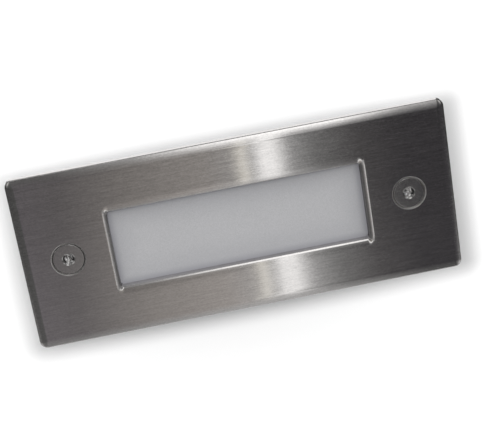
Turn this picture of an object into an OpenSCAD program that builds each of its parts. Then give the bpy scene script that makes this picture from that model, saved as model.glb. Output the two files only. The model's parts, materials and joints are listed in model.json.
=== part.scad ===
// Rectangular recessed ground light: a stamped steel face plate with a frosted lens
// on a die-cast housing that holds the light source and its driver.
// Millimetres, +Z up out of the ground. The origin is the middle of the housing's base.

/* [Face plate] */
// Length of the plate
plate_l = 170; // [164:1:190]
// Width of the plate
plate_w = 70; // [66:1:90]
// Thickness of the steel sheet
plate_sheet = 1.5; // [1.2:0.1:1.8]
// Height of the rolled edge, from the face down to the ground
plate_h = 4; // [3.6:0.1:6]
// Radius of the rolled edge and of the plate's corners
edge_r = 3; // [2.2:0.1:3.4]
// Distance from the window to the plate's end
window_margin = 35; // [33:0.5:40]
// Width of the window
window_w = 32; // [28:1:34]
// Radius of the window's corners
window_corner_r = 1.6; // [1:0.1:4]
// Radius of the lip that rolls down into the window
lip_r = 2; // [1.6:0.1:2.6]
// Depth of the lip below the face
lip_depth = 3.9; // [3.2:0.1:4]

/* [Face screws] */
// Distance from a face screw to the plate's end
screw_inset = 17.8; // [16:0.2:18.4]
// Radius of the countersink at the face
sink_r = 6.8; // [6.6:0.1:7.2]
// Radius of the screw's head
head_r = 6; // [5.6:0.1:6.2]
// Radius of the screw's threaded length
thread_r = 2.97; // [2.9:0.01:3]
// Radius of the screw's plain neck
neck_r = 2.4; // [2.2:0.1:2.5]
// Length of the screw, head included
screw_l = 20; // [18:0.5:22]
// Distance across the flats of the hexagon socket
socket_af = 4; // [3:0.5:5]
// Depth of the hexagon socket
socket_depth = 2.3; // [1.6:0.1:2.6]
// Depth of the head's top below the face
head_drop = 0.3; // [0.2:0.05:0.5]
// Radius of the retaining washer
retainer_r = 4.75; // [4.4:0.05:5]
// Thickness of the retaining washer
retainer_t = 1.2; // [0.8:0.1:1.6]

/* [Lens and gaskets] */
// Depth of the lens below the face
glass_depth = 4.2; // [4.1:0.1:5]
// Thickness of the lens
glass_t = 5; // [4:0.5:6]
// How far the lens reaches past the window on each side
glass_overlap = 3.5; // [3.2:0.1:4]
// Radius of the lens's corners
glass_corner_r = 2.5; // [1.5:0.5:5]
// Thickness of the rubber around the lens's edge
lens_wall = 1.2; // [1:0.1:1.5]
// Thickness of the rubber under the lens
lens_lip_t = 1; // [0.8:0.1:1.5]
// Thickness of the face gasket
gasket_t = 1.5; // [1.2:0.1:2]
// Width of the face gasket's frame
gasket_w = 4.3; // [3:0.1:5]
// Radius of the face gasket around each screw
gasket_tongue_r = 11; // [10:0.5:12]

/* [Housing] */
// Thickness of the housing's walls
wall = 3; // [2.5:0.1:3.5]
// Thickness of the housing's floor
floor_t = 3; // [2.5:0.5:5]
// Thickness of the flange
flange_t = 5; // [4:0.5:6]
// Gap between the flange and the plate's rolled edge
flange_gap = 4.5; // [3:0.5:5]
// Radius of the flange's corners
flange_corner_r = 4; // [2:0.5:8]
// Width of the bed that the lens gasket lies on
bed_w = 4; // [3.6:0.1:4.4]
// Height of the light chamber, from the deck to the bed
chamber_h = 13.8; // [12:0.2:20]
// How far the driver bay's end walls step in from the light chamber's
bay_step_l = 5; // [4.5:0.5:6]
// How far the driver bay's side walls step in from the light chamber's
bay_step_w = 3.5; // [3:0.1:4]
// Height of the driver bay
bay_h = 26; // [25:0.5:36]
// Radius of the screw towers
tower_r = 7.5; // [7:0.1:8]
// Length of the threaded inserts
insert_l = 9; // [7:0.5:10]
// Radius of the threaded inserts
insert_r = 4.5; // [4:0.1:4.8]
// Radius of the fixing holes in the flange
fixing_r = 2.25; // [2:0.05:2.75]
// Distance from a fixing hole to the flange's end
fixing_inset = 7; // [5.5:0.5:8]
// Number of ribs along each side
rib_count = 9; // [3:2:13]
// Thickness of a rib
rib_t = 2; // [1.5:0.1:3]
// How far a rib stands out from the wall
rib_out = 1.6; // [1:0.1:1.8]

/* [Light source] */
// Thickness of the aluminium deck
deck_t = 3; // [2:0.5:4]
// Radius of the deck's screws
deck_screw_r = 1.25; // [1:0.05:1.4]
// Distance from the light board to the deck's end
led_board_inset = 12.7; // [12.5:0.1:15]
// Width of the light board
led_board_w = 18; // [16:0.5:20]
// Thickness of the light board
led_board_t = 1.6; // [1:0.1:2]
// Thickness of the thermal pad
pad_t = 0.5; // [0.3:0.1:1]
// Distance between emitters in a row
led_pitch = 8.5; // [7:0.5:8.5]
// Distance between the two rows of emitters
led_row_gap = 12; // [11:0.5:13]
// Height of an emitter
led_h = 0.8; // [0.6:0.1:1]
// Thickness of the reflector's walls
reflector_t = 1.2; // [1:0.1:1.5]

/* [Driver] */
// Room between the driver board and the bay's wall at the gland
gland_room = 14; // [13:0.5:16]
// Thickness of the driver board
driver_t = 1.6; // [1:0.1:2]
// Height of the driver board above the floor
standoff_h = 5; // [4:0.5:6]
// Side of the transformer
transformer_w = 12; // [10:0.5:13]
// Height of the transformer
transformer_h = 11; // [8:0.5:13]
// Radius of a capacitor
capacitor_r = 3.5; // [2.5:0.1:4]
// Height of a capacitor
capacitor_h = 12; // [8:0.5:13]
// Radius of a lead's insulation
lead_r = 0.7; // [0.5:0.05:0.75]

/* [Cable gland and vent] */
// Radius of the gland's thread
gland_r = 8; // [7.5:0.1:8.2]
// Distance across the flats of the gland's hexagon
gland_af = 19; // [18:0.5:20]
// Radius of the cable that the gland's seal holds
cable_r = 3.5; // [3:0.1:4]
// Length of the gland's dome nut
dome_l = 15; // [13:0.5:17]
// Thickness of the gland's locknut
locknut_t = 4; // [3:0.5:5]
// Radius of the vent plug's head
vent_head_r = 6; // [5.5:0.1:7]
// Radius of the vent plug's thread
vent_r = 4; // [3.5:0.1:4.5]

/* [Hidden] */

$fn = 64;
eps = 0.01;             // overcut at the end of a hole
fit = 0.1;              // clearance of a screw's head in its countersink
press = 0.02;           // clearance of a pressed or threaded piece within one body
loose = 0.3;            // clearance of a piece that lifts out

// Heights, from the base up
seat_z = floor_t + bay_h;                       // ledge that the deck lies on
deck_top_z = seat_z + deck_t;
bed_z = deck_top_z + chamber_h;                 // bed of the lens gasket
glass_z = bed_z + lens_lip_t;                   // underside of the lens
glass_top_z = glass_z + glass_t;
face_z = glass_top_z + glass_depth;             // the plate's face
sheet_z = face_z - plate_sheet;                 // underside of the plate's sheet
flange_z = sheet_z - gasket_t;                  // top of the flange
ground_z = face_z - plate_h;                    // lower edge of the plate

// Lengths and widths of the pieces that lie inside each other, outwards from the window
window_l = plate_l - 2 * window_margin;
glass_l = window_l + 2 * glass_overlap;
glass_w = window_w + 2 * glass_overlap;
lens_l = glass_l + 2 * lens_wall;
lens_w = glass_w + 2 * lens_wall;
lens_corner_r = glass_corner_r + lens_wall;
pocket_l = lens_l + 2 * loose;
pocket_w = lens_w + 2 * loose;
collar_l = pocket_l + 2 * wall;
collar_w = pocket_w + 2 * wall;
collar_drop = 3;                                // thickness of the bed
chamber_l = pocket_l - 2 * bed_w;
chamber_w = pocket_w - 2 * bed_w;
tub_l = chamber_l + 2 * wall;
tub_w = chamber_w + 2 * wall;
tub_z = seat_z - wall;                          // underside of the deck's ledge
bay_l = chamber_l - 2 * bay_step_l;
bay_w = chamber_w - 2 * bay_step_w;
lower_l = bay_l + 2 * wall;
lower_w = bay_w + 2 * wall;
flange_l = plate_l - 2 * (plate_sheet + flange_gap);
flange_w = plate_w - 2 * (plate_sheet + flange_gap);
cast_corner_r = 3;                              // corners of the housing's walls
cavity_corner_r = 1.5;                          // corners inside the housing

// Face screws and their towers
screw_span = plate_l - 2 * screw_inset;
hole_r = 3.3;                                   // hole at the foot of the countersink
sink_depth = sink_r - hole_r;
dimple_depth = sink_depth + 1.1;
dimple_skin = plate_sheet * sqrt(2);            // sheet thickness, measured level, on a 45 degree cone
counterbore_r = sink_r + 1.2;
counterbore_z = face_z - dimple_depth - 0.6;
recess_r = retainer_r + 0.5;
insert_top_z = face_z - 14;
insert_bore_r = thread_r + 0.08;
drill_z = insert_top_z - insert_l - 2.5;        // end of the blind hole
tower_z = drill_z - 2.5;
retainer_z = insert_top_z + 0.6;                // underside of the washer at rest
head_top_z = face_z - head_drop;
rim_z = face_z - (sink_r - fit - head_r);       // foot of the head's rim, where its cone begins

// Deck and its screws
deck_l = chamber_l - 2 * loose;
deck_w = chamber_w - 2 * loose;
deck_screw_x = bay_l / 2 + bay_step_l * 0.4;     // over the ledge, clear of the deck's end
deck_screw_y = bay_w / 3;
deck_screw_bite = wall - 0.4;                   // threaded length in the ledge
grommet_bore_r = 2 * lead_r + 0.15;
grommet_r = grommet_bore_r + 0.9;
grommet_lip = 0.8;
grommet_x = bay_l / 2 - grommet_r - grommet_lip;

// Light board, emitters and reflector
board_z = deck_top_z + pad_t;
board_top_z = board_z + led_board_t;
led_board_l = deck_l - 2 * led_board_inset;
led_l = 3.5;
led_w = 2.8;
led_margin = 6;                                 // from the last emitter to the board's end, at least
led_count = floor((led_board_l - 2 * led_margin - led_l) / led_pitch) + 1;
reflector_l = chamber_l - 4;
reflector_floor_w = led_board_w + 2;
reflector_top_w = chamber_w - 2 * loose;
reflector_top_z = bed_z - loose;
board_screw_r = 1.1;
connector_l = 8;
connector_w = 4;
connector_h = 3.4;
connector_x = led_board_l / 2 - connector_w / 2 - 1;
board_screw_pitch = connector_x - connector_w / 2 - 3;

// Driver board and what stands on it
driver_z = floor_t + standoff_h;
driver_top_z = driver_z + driver_t;
driver_gap = 2;                                 // between the board and the wall at the vent
driver_l = bay_l - driver_gap - gland_room;
driver_w = bay_w - 6.2;
driver_x = -bay_l / 2 + driver_gap + driver_l / 2;   // middle of the board
driver_hole_x = driver_l / 2 - 4;
driver_hole_y = driver_w / 2 - 3;
driver_end_x = driver_x + driver_l / 2;
spacer_r = 2.5;
driver_screw_bite = 1.8;                        // threaded length in the floor
part_gap = 2;                                   // between the parts on the board
capacitor_x = driver_end_x - driver_l + 9;
capacitor_pitch = 2 * capacitor_r + part_gap;
transformer_x = capacitor_x + capacitor_pitch + capacitor_r + part_gap + transformer_w / 2;
terminal_pitch = 5;
terminal_l = 3 * terminal_pitch;
terminal_w = 8;
terminal_h = 10;
terminal_x = driver_end_x - 9 - terminal_w / 2;
terminal_entry_r = 1.5;
terminal_well_r = 1.8;
chip_x = (transformer_x + transformer_w / 2 + terminal_x - terminal_w / 2) / 2;
chip_size = [5, 4, 1.6];
coil_size = [5, 6, 2.4];
bridge_size = [4, 4, 1.5];

// Gland, in the housing's +X end, and vent, in its -X end
gland_z = floor_t + bay_h / 2;
gland_wall_x = lower_l / 2;
washer_t = 1.2;
gland_collar_t = 5;
gland_in = wall + locknut_t + 2;                // threaded length, inwards from the wall's outer face
gland_bore_r = cable_r + 1.6;
seal_l = 9;
vent_z = floor_t + bay_h / 2;
vent_oring_r = 0.8;

// A flat plate with round corners, its middle on the axis and its underside at z
module slab(l, w, h, r, z = 0) {
    translate([0, 0, z])
        linear_extrude(h) rounded_rect(l, w, r);
}

module rounded_rect(l, w, r) {
    square([l - 2 * r, w], center = true);
    square([l, w - 2 * r], center = true);
    for (x = [-1, 1], y = [-1, 1])
        translate([x * (l / 2 - r), y * (w / 2 - r)]) circle(r);
}

// A cylinder along X, from x0 to x1
module x_cylinder(r, x0, x1) {
    translate([x0, 0, 0]) rotate([0, 90, 0]) cylinder(h = x1 - x0, r = r);
}

// A slab whose corners and top edge are rounded with radius r all round
module pillow(l, w, h, r) {
    linear_extrude(h - r) rounded_rect(l, w, r);
    translate([0, 0, h - r - eps]) linear_extrude(r + eps) square([l - 2 * r, w - 2 * r], center = true);
    intersection() {
        translate([0, 0, h - r]) {
            for (y = [-1, 1])
                translate([0, y * (w / 2 - r), 0]) x_cylinder(r, r - l / 2, l / 2 - r);
            for (x = [-1, 1])
                translate([x * (l / 2 - r), 0, 0])
                    rotate([90, 0, 0]) cylinder(h = w - 2 * r, r = r, center = true);
            for (x = [-1, 1], y = [-1, 1])
                translate([x * (l / 2 - r), y * (w / 2 - r), 0]) sphere(r);
        }
        translate([-l, -w, 0]) cube([2 * l, 2 * w, h]);
    }
}

// The space that the lip's roll leaves free above it, between the window and the face
module roll_profile() {
    difference() {
        translate([-eps, -lip_r]) square([lip_r + eps, lip_r + eps]);
        translate([lip_r, -lip_r]) circle(lip_r);
    }
}

module window_roll() {
    run_l = window_l / 2 - window_corner_r;
    run_w = window_w / 2 - window_corner_r;
    translate([0, 0, face_z]) {
        for (a = [0, 180]) {
            rotate([0, 0, a]) translate([run_l, window_w / 2, 0])
                rotate([90, 0, -90]) mirror([1, 0, 0]) linear_extrude(2 * run_l) roll_profile();
            rotate([0, 0, a]) translate([window_l / 2, run_w, 0])
                rotate([90, 0, 0]) linear_extrude(2 * run_w) roll_profile();
        }
        for (x = [-1, 1], y = [-1, 1])
            translate([x * run_l, y * run_w, 0])
                rotate_extrude() translate([window_corner_r, 0]) roll_profile();
    }
}

// Countersink and hole of a face screw, cut from the face down
module sink(x) {
    translate([x, 0, 0]) {
        translate([0, 0, face_z - sink_depth])
            cylinder(h = sink_depth + eps, r1 = hole_r, r2 = sink_r + eps);
        translate([0, 0, face_z - dimple_depth - eps]) cylinder(h = dimple_depth, r = hole_r);
    }
}

module face_plate() {
    color("silver") difference() {
        union() {
            difference() {
                translate([0, 0, ground_z]) pillow(plate_l, plate_w, plate_h, edge_r);
                translate([0, 0, ground_z - eps])
                    pillow(plate_l - 2 * plate_sheet, plate_w - 2 * plate_sheet,
                        plate_h - plate_sheet + eps, edge_r - plate_sheet);
            }
            slab(window_l + 2 * lip_r, window_w + 2 * lip_r, plate_sheet, window_corner_r + lip_r, sheet_z);
            slab(window_l + 2 * plate_sheet, window_w + 2 * plate_sheet, lip_depth - eps,
                window_corner_r + plate_sheet, face_z - lip_depth);
            for (x = [-1, 1])
                translate([x * screw_span / 2, 0, face_z - dimple_depth])
                    cylinder(h = dimple_depth - plate_sheet + eps,
                        r1 = sink_r + dimple_skin - dimple_depth, r2 = sink_r + dimple_skin - plate_sheet);
        }
        slab(window_l, window_w, lip_depth + 2 * eps, window_corner_r, face_z - lip_depth - eps);
        window_roll();
        for (x = [-1, 1]) sink(x * screw_span / 2);
    }
}

module face_gasket() {
    inner_l = lens_l + 1;
    inner_w = lens_w + 1;
    color("dimgray") translate([0, 0, flange_z]) linear_extrude(gasket_t) difference() {
        union() {
            rounded_rect(inner_l + 2 * gasket_w, inner_w + 2 * gasket_w, lens_corner_r + gasket_w);
            square([screw_span, 2 * gasket_tongue_r], center = true);
            for (x = [-1, 1]) translate([x * screw_span / 2, 0]) circle(gasket_tongue_r);
        }
        rounded_rect(inner_l, inner_w, lens_corner_r);
        for (x = [-1, 1]) translate([x * screw_span / 2, 0]) circle(counterbore_r + 0.3);
    }
}

module diffuser() {
    color("whitesmoke") slab(glass_l, glass_w, glass_t, glass_corner_r, glass_z);
}

// Rubber channel that wraps the lens's edge and lies on the housing's bed
module lens_gasket() {
    top_inset = glass_overlap - plate_sheet - 0.5;
    bottom_inset = 2.5;
    color("dimgray") difference() {
        slab(lens_l, lens_w, sheet_z - bed_z, lens_corner_r, bed_z);
        slab(glass_l + 2 * press, glass_w + 2 * press, glass_t, glass_corner_r, glass_z);
        slab(glass_l - 2 * top_inset, glass_w - 2 * top_inset, sheet_z - glass_top_z + 2 * eps,
            glass_corner_r, glass_top_z - eps);
        slab(glass_l - 2 * bottom_inset, glass_w - 2 * bottom_inset, lens_lip_t + 2 * eps,
            glass_corner_r, bed_z - eps);
    }
}

// Countersunk screw with a hexagon socket, a plain neck and a threaded end
module face_screw(x) {
    color("silver") translate([x, 0, 0]) difference() {
        union() {
            translate([0, 0, rim_z]) cylinder(h = head_top_z - rim_z, r = head_r);
            translate([0, 0, rim_z - (head_r - neck_r)])
                cylinder(h = head_r - neck_r, r1 = neck_r, r2 = head_r);
            translate([0, 0, head_top_z - screw_l + 1])
                cylinder(h = rim_z - head_top_z + screw_l - 1, r = neck_r);
            translate([0, 0, head_top_z - screw_l])
                cylinder(h = 0.8, r1 = thread_r - 0.8, r2 = thread_r);
            translate([0, 0, head_top_z - screw_l + 0.8])
                cylinder(h = retainer_z - 0.2 - (head_top_z - screw_l + 0.8), r = thread_r);
        }
        translate([0, 0, head_top_z - socket_depth])
            rotate([0, 0, 30]) cylinder(h = socket_depth + eps, r = socket_af / sqrt(3), $fn = 6);
        translate([0, 0, head_top_z - socket_depth - socket_af / 4])
            cylinder(h = socket_af / 4 + eps, r1 = 0.1, r2 = socket_af / 2 - 0.1);
    }
}

module left_screw() face_screw(-screw_span / 2);
module right_screw() face_screw(screw_span / 2);

// Washer on the screw's neck that keeps the loosened screw in the plate
module retainer(x) {
    color("ivory") translate([x, 0, retainer_z]) difference() {
        cylinder(h = retainer_t, r = retainer_r);
        translate([0, 0, -eps]) cylinder(h = retainer_t + 2 * eps, r = neck_r + 0.08);
    }
}

module left_retainer() retainer(-screw_span / 2);
module right_retainer() retainer(screw_span / 2);

// Holes of one screw tower, from the flange down
module tower_holes() {
    translate([0, 0, counterbore_z]) cylinder(h = flange_z - counterbore_z + eps, r = counterbore_r);
    translate([0, 0, insert_top_z]) cylinder(h = counterbore_z - insert_top_z + eps, r = recess_r);
    translate([0, 0, insert_top_z - insert_l]) cylinder(h = insert_l + eps, r = insert_r + press);
    translate([0, 0, drill_z]) cylinder(h = insert_top_z - drill_z, r = hole_r);
}

// Shallow ribs down the two long sides of the light chamber and the driver bay
module side_ribs() {
    rib_pitch = (lower_l - 2 * cast_corner_r - rib_t) / (rib_count - 1);
    for (i = [0 : rib_count - 1])
        translate([(i - (rib_count - 1) / 2) * rib_pitch - rib_t / 2, 0, 0]) {
            translate([0, -lower_w / 2 - rib_out, floor_t])
                cube([rib_t, lower_w + 2 * rib_out, tub_z - floor_t + 1]);
            translate([0, -tub_w / 2 - rib_out, tub_z])
                cube([rib_t, tub_w + 2 * rib_out, bed_z - collar_drop - tub_z + 1]);
        }
}

// Web that ties a screw tower to the light chamber's end wall
module tower_web(side) {
    web_t = 5;
    translate([side > 0 ? tub_l / 2 - 1 : -screw_span / 2, -web_t / 2, tower_z])
        cube([screw_span / 2 - tub_l / 2 + 1, web_t, flange_z - flange_t - tower_z + 1]);
}

module housing() {
    color("#2f3133") difference() {
        union() {
            slab(flange_l, flange_w, flange_t, flange_corner_r, flange_z - flange_t);
            slab(collar_l, collar_w, flange_z - bed_z + collar_drop - 1, cast_corner_r, bed_z - collar_drop);
            slab(tub_l, tub_w, bed_z - tub_z, cast_corner_r, tub_z);
            slab(lower_l, lower_w, tub_z + 1, cast_corner_r);
            for (side = [-1, 1]) {
                translate([side * screw_span / 2, 0, tower_z])
                    cylinder(h = flange_z - flange_t - tower_z + 1, r = tower_r);
                tower_web(side);
            }
            side_ribs();
        }
        slab(pocket_l, pocket_w, flange_z - bed_z + eps, lens_corner_r + loose, bed_z);
        slab(chamber_l, chamber_w, bed_z - seat_z + eps, cavity_corner_r, seat_z);
        slab(bay_l, bay_w, bay_h + eps, cavity_corner_r, floor_t);
        for (x = [-1, 1]) translate([x * screw_span / 2, 0, 0]) tower_holes();
        for (x = [-1, 1], y = [-1, 1]) {
            translate([x * (flange_l / 2 - fixing_inset), y * (flange_w / 2 - fixing_inset),
                flange_z - flange_t - eps])
                cylinder(h = flange_t + 2 * eps, r = fixing_r);
            translate([x * deck_screw_x, y * deck_screw_y, seat_z - deck_screw_bite])
                cylinder(h = deck_screw_bite + eps, r = deck_screw_r + press);
        }
        each_driver_screw(floor_t - driver_screw_bite)
            cylinder(h = driver_screw_bite + eps, r = board_screw_r + press);
        translate([0, 0, gland_z]) x_cylinder(gland_r + press, bay_l / 2 - 1, gland_wall_x + 1);
        translate([0, 0, vent_z]) x_cylinder(vent_r + press, -gland_wall_x - 1, -bay_l / 2 + 1);
    }
}

module threaded_inserts() {
    color("goldenrod") for (x = [-1, 1])
        translate([x * screw_span / 2, 0, insert_top_z - insert_l]) difference() {
            cylinder(h = insert_l, r = insert_r);
            translate([0, 0, -eps]) cylinder(h = insert_l + 2 * eps, r = insert_bore_r);
        }
}

// Half of the reflector's cross-section: its floor and one sloped side
module reflector_side() {
    polygon([[0, 0], [reflector_floor_w / 2, 0], [reflector_top_w / 2, reflector_top_z - board_top_z],
        [reflector_top_w / 2 - reflector_t, reflector_top_z - board_top_z],
        [reflector_floor_w / 2 - reflector_t / 2, reflector_t], [0, reflector_t]]);
}

module reflector_end() {
    polygon([[-reflector_floor_w / 2, 0], [reflector_floor_w / 2, 0],
        [reflector_top_w / 2, reflector_top_z - board_top_z],
        [-reflector_top_w / 2, reflector_top_z - board_top_z]]);
}

// Carries a cross-section drawn in Y and Z along X, from x0 to x1
module along_x(x0, x1) {
    translate([x0, 0, 0]) rotate([90, 0, 90]) linear_extrude(x1 - x0) children();
}

// White tray over the light board, with a window for each emitter and one for the connector
module reflector() {
    color("white") difference() {
        translate([0, 0, board_top_z]) {
            along_x(-reflector_l / 2, reflector_l / 2) {
                reflector_side();
                mirror([1, 0]) reflector_side();
            }
            along_x(-reflector_l / 2, -reflector_l / 2 + reflector_t) reflector_end();
            along_x(reflector_l / 2 - reflector_t, reflector_l / 2) reflector_end();
        }
        each_led() cube([led_l + 0.6, led_w + 0.6, 3 * reflector_t], center = true);
        for (i = [-1 : 1]) translate([i * board_screw_pitch, 0, board_top_z - eps])
            cylinder(h = reflector_t + 2 * eps, r = board_screw_r + press);
        translate([connector_x - connector_w / 2 - 0.4, -connector_l / 2 - 0.4, board_top_z - eps])
            cube([grommet_x + grommet_r + 0.6 - connector_x + connector_w / 2, connector_l + 0.8,
                reflector_t + 2 * eps]);
    }
}

// Places its child at the middle of each emitter's foot
module each_led() {
    for (i = [0 : led_count - 1], row = [-1, 1])
        translate([(i - (led_count - 1) / 2) * led_pitch, row * led_row_gap / 2, board_top_z])
            children();
}

module led_board() {
    color("ghostwhite") difference() {
        slab(led_board_l, led_board_w, led_board_t, 1, board_z);
        for (i = [-1 : 1]) translate([i * board_screw_pitch, 0, board_z - eps])
            cylinder(h = led_board_t + 2 * eps, r = board_screw_r + press);
    }
}

module led_emitters() {
    color("khaki") each_led()
        translate([-led_l / 2, -led_w / 2, 0]) cube([led_l, led_w, led_h]);
}

// Plug-in connector with an entry for each lead in its +X side
module board_connector() {
    color("ivory") difference() {
        translate([connector_x - connector_w / 2, -connector_l / 2, board_top_z])
            cube([connector_w, connector_l, connector_h]);
        for (y = [-1, 1])
            translate([0, y * connector_l / 4, board_top_z + connector_h / 2])
                x_cylinder(lead_r + 0.1, connector_x, connector_x + connector_w);
    }
}

// Pan-head screw with a cross recess, its head's underside at z = 0 and its shank of length l below
module pan_screw(r, l) {
    pan_r = 1.8 * r;
    pan_h = 1.2 * r;
    slot = 0.5 * r;
    translate([0, 0, -l]) cylinder(h = l + eps, r = r);
    difference() {
        cylinder(h = pan_h, r = pan_r);
        for (a = [0, 90]) rotate([0, 0, a])
            translate([-pan_r * 0.6, -slot / 2, pan_h / 2]) cube([pan_r * 1.2, slot, pan_h]);
    }
}

module board_screws() {
    color("silver") for (i = [-1 : 1])
        translate([i * board_screw_pitch, 0, board_top_z + reflector_t])
            pan_screw(board_screw_r, reflector_t + led_board_t + pad_t + deck_t - 0.5);
}

module thermal_pad() {
    color("lightgray") difference() {
        slab(led_board_l - 2, led_board_w - 1, pad_t, 1, deck_top_z);
        for (i = [-1 : 1]) translate([i * board_screw_pitch, 0, deck_top_z - eps])
            cylinder(h = pad_t + 2 * eps, r = board_screw_r + press);
    }
}

// Aluminium plate between the two chambers, which takes the emitters' heat to the housing
module deck() {
    color("lightsteelblue") difference() {
        slab(deck_l, deck_w, deck_t, cavity_corner_r, seat_z);
        for (i = [-1 : 1]) translate([i * board_screw_pitch, 0, seat_z - eps])
            cylinder(h = deck_t + 2 * eps, r = board_screw_r + press);
        for (x = [-1, 1], y = [-1, 1])
            translate([x * deck_screw_x, y * deck_screw_y, seat_z - eps])
                cylinder(h = deck_t + 2 * eps, r = deck_screw_r + fit);
        translate([grommet_x, 0, seat_z - eps]) cylinder(h = deck_t + 2 * eps, r = grommet_r);
    }
}

module deck_screws() {
    color("silver") for (x = [-1, 1], y = [-1, 1])
        translate([x * deck_screw_x, y * deck_screw_y, deck_top_z])
            pan_screw(deck_screw_r, deck_t + deck_screw_bite - eps);
}

// Rubber bush with a lip on each side of the deck
module lead_grommet() {
    color("#303030") translate([grommet_x, 0, seat_z - grommet_lip]) difference() {
        union() {
            cylinder(h = deck_t + 2 * grommet_lip, r = grommet_r - press);
            cylinder(h = grommet_lip - press, r = grommet_r + 0.6);
            translate([0, 0, deck_t + grommet_lip + press])
                cylinder(h = grommet_lip - press, r = grommet_r + 0.6);
        }
        translate([0, 0, -eps]) cylinder(h = deck_t + 2 * grommet_lip + 2 * eps, r = grommet_bore_r);
    }
}

// A point at t on the smooth curve through p[1] and p[2], with p[0] and p[3] on either side
function curve(p, t) = 0.5 * ((2 * p[1]) + (p[2] - p[0]) * t
    + (2 * p[0] - 5 * p[1] + 4 * p[2] - p[3]) * t * t
    + (3 * p[1] - p[0] - 3 * p[2] + p[3]) * t * t * t);
function route(points, steps) = let(last = len(points) - 1) concat(
    [for (i = [0 : last - 1], s = [0 : steps - 1]) curve([points[max(i - 1, 0)], points[i],
        points[i + 1], points[min(i + 2, last)]], s / steps)], [points[last]]);
function unit(v) = v / norm(v);
function heading(path, i) = unit(path[min(i + 1, len(path) - 1)] - path[max(i - 1, 0)]);

function ring(centre, side, up, r, sides) = [for (k = [0 : sides - 1])
    centre + r * (cos(360 * k / sides) * side + sin(360 * k / sides) * up)];

// A round tube along a path that never runs along Y: every ring starts at the side nearest -Y
module tube(points, r, steps = 4, sides = 8) {
    path = route(points, steps);
    rings = [for (i = [0 : len(path) - 1])
        let(t = heading(path, i), side = unit(cross(t, [0, 1, 0])))
            each ring(path[i], side, cross(side, t), r, sides)];
    n = len(path);
    faces = concat(
        [[for (k = [0 : sides - 1]) k]],
        [for (i = [0 : n - 2], k = [0 : sides - 1]) let(m = (k + 1) % sides)
            [i * sides + k, (i + 1) * sides + k, (i + 1) * sides + m]],
        [for (i = [0 : n - 2], k = [0 : sides - 1]) let(m = (k + 1) % sides)
            [i * sides + k, (i + 1) * sides + m, i * sides + m]],
        [[for (k = [0 : sides - 1]) (n - 1) * sides + sides - 1 - k]]);
    polyhedron(rings, faces);
}

// Straight end of a lead above the driver board
lead_stub = 4;
// Drop of a lead's bend below the grommet
lead_bend = 6.6;
// Route of one lead: up from the driver board, through the grommet and down into the connector
function lead_route(side) = let(y = side * connector_l / 4, level = board_top_z + connector_h / 2)
    [[driver_end_x - 1.5, side * 6, driver_top_z + press],
     [driver_end_x - 1.5, side * 6, driver_top_z + lead_stub],
     [driver_end_x + 1, side * 5.4, seat_z - lead_bend],
     [grommet_x - 0.8, side * (lead_r + 0.05) * 1.6, seat_z - lead_bend / 3],
     [grommet_x, side * (lead_r + 0.05), seat_z],
     [grommet_x, side * (lead_r + 0.05), deck_top_z + 1],
     [grommet_x - 0.3, side * (lead_r + 0.4), level - 0.6],
     [connector_x + connector_w / 2 + 0.8, y, level],
     [connector_x + 0.4, y, level]];

module positive_lead() { color("firebrick") tube(lead_route(1), lead_r); }
module negative_lead() { color("#202020") tube(lead_route(-1), lead_r); }

module driver_board() {
    color("darkgreen") difference() {
        translate([driver_x, 0, 0]) slab(driver_l, driver_w, driver_t, 1, driver_z);
        each_driver_screw(driver_z - eps)
            cylinder(h = driver_t + 2 * eps, r = board_screw_r + press);
    }
}

// Places its child at each of the driver board's four screws, at height z
module each_driver_screw(z) {
    for (x = [-1, 1], y = [-1, 1])
        translate([driver_x + x * driver_hole_x, y * driver_hole_y, z]) children();
}

module driver_spacers() {
    color("goldenrod") each_driver_screw(floor_t) difference() {
        cylinder(h = standoff_h, r = spacer_r);
        translate([0, 0, -eps]) cylinder(h = standoff_h + 2 * eps, r = board_screw_r + press);
    }
}

module driver_screws() {
    color("silver") each_driver_screw(driver_top_z)
        pan_screw(board_screw_r, driver_t + standoff_h + driver_screw_bite - eps);
}

// Bobbin with two cheeks, and the core around it
module transformer() {
    cheek = 1.2;
    color("#c8a030") translate([transformer_x, 0, driver_top_z]) {
        slab(transformer_w, transformer_w, cheek, 0.5);
        slab(transformer_w - 2 * cheek, transformer_w - 2 * cheek, transformer_h, 2);
        slab(transformer_w, transformer_w, cheek, 0.5, transformer_h - cheek);
    }
}

// Two cans, each with a groove crimped in near its foot
module capacitors() {
    foot_h = 1;
    groove_h = 0.6;
    groove_depth = 0.3;
    color("midnightblue") for (i = [0, 1])
        translate([capacitor_x + i * capacitor_pitch, 0, driver_top_z]) {
            cylinder(h = foot_h, r = capacitor_r);
            cylinder(h = capacitor_h, r = capacitor_r - groove_depth);
            translate([0, 0, foot_h + groove_h])
                cylinder(h = capacitor_h - foot_h - groove_h, r = capacitor_r);
        }
}

// A box standing on the driver board, its middle at x and y
module chip(x, y, size) {
    translate([x - size[0] / 2, y - size[1] / 2, driver_top_z]) cube(size);
}

module driver_chips() {
    color("#252525") {
        chip(chip_x, -1 - chip_size[1] / 2, chip_size);
        chip(chip_x, 1 + coil_size[1] / 2, coil_size);
        chip(capacitor_x + capacitor_pitch / 2, capacitor_r + 1 + bridge_size[1] / 2, bridge_size);
    }
}

// Block with a lead entry in its +X side and a screw well over each entry
module terminal_block() {
    color("lightgray") translate([terminal_x, 0, driver_top_z]) difference() {
        translate([-terminal_w / 2, -terminal_l / 2, 0]) cube([terminal_w, terminal_l, terminal_h]);
        for (i = [-1 : 1]) translate([0, i * terminal_pitch, terminal_h * 0.3]) {
            x_cylinder(terminal_entry_r, -1, terminal_w);
            translate([0, 0, -terminal_entry_r / 3]) cylinder(h = terminal_h, r = terminal_well_r);
        }
    }
}

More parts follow.
